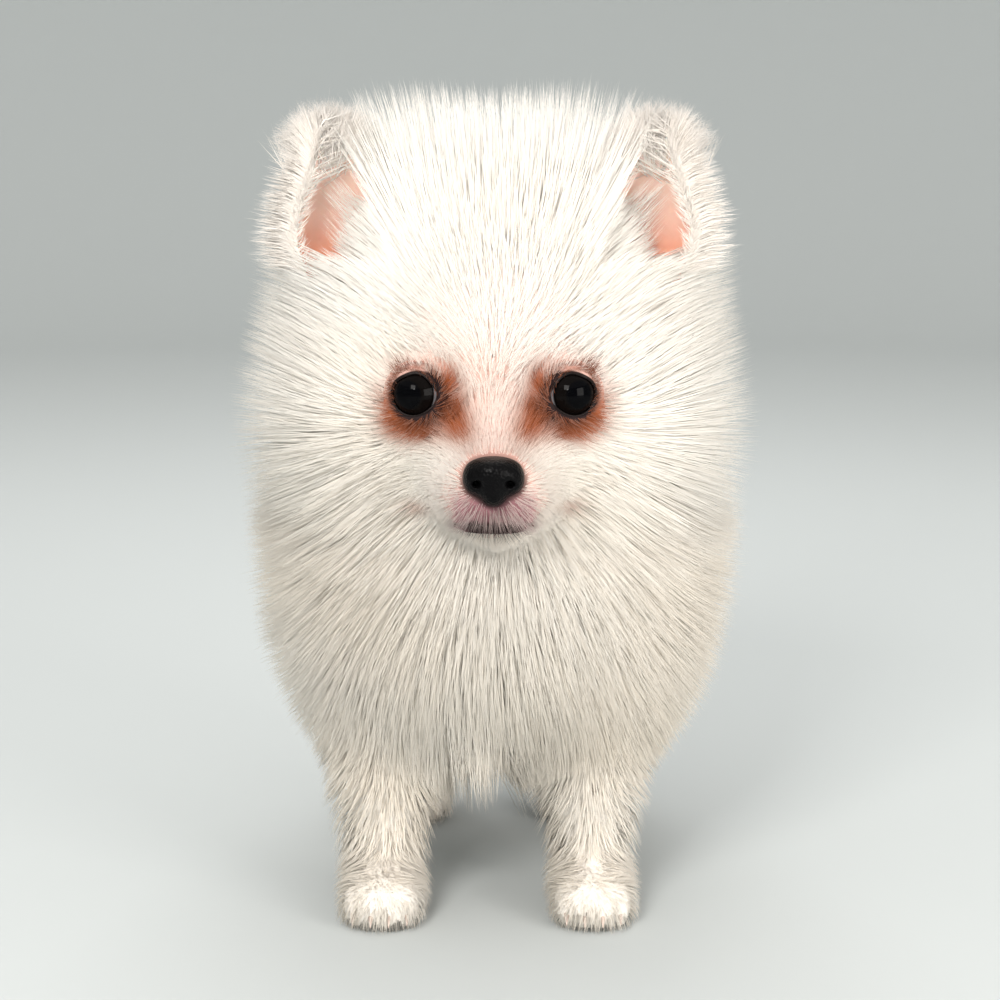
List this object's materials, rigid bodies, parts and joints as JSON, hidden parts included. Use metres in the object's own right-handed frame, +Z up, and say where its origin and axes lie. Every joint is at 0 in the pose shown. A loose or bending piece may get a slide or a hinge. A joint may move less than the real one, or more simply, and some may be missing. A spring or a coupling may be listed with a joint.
{
  "type": "pomeranian puppy",
  "caption": "Life-size still model of a white pomeranian puppy standing four-square with a dense ruff and its tail curled over the back.",
  "frame": {"origin": "on the floor under the middle of the bounding box", "axes": "+Z up; the animal faces -Y; its own left side is at +X"},
  "size_m": [0.1284, 0.1974, 0.2228],
  "materials": {
    "coat": "soft dense long hair, warm white",
    "ear": "thin pink skin with fine pale hairs",
    "nose": "moist fine-grained black nose leather",
    "eye": "wet, very dark brown, high gloss"
  },
  "bodies": {
    "root": {"eye_right": "eye", "eye_left": "eye", "nose": "nose", "head": "coat", "ear_right": "ear", "ear_left": "ear", "neck": "coat", "torso": "coat", "foreleg_right": "coat", "foreleg_left": "coat", "forepaw_right": "coat", "forepaw_left": "coat", "hindleg_right": "coat", "hindleg_left": "coat", "hindpaw_right": "coat", "hindpaw_left": "coat", "tail": "coat"}
  },
  "joints": []
}
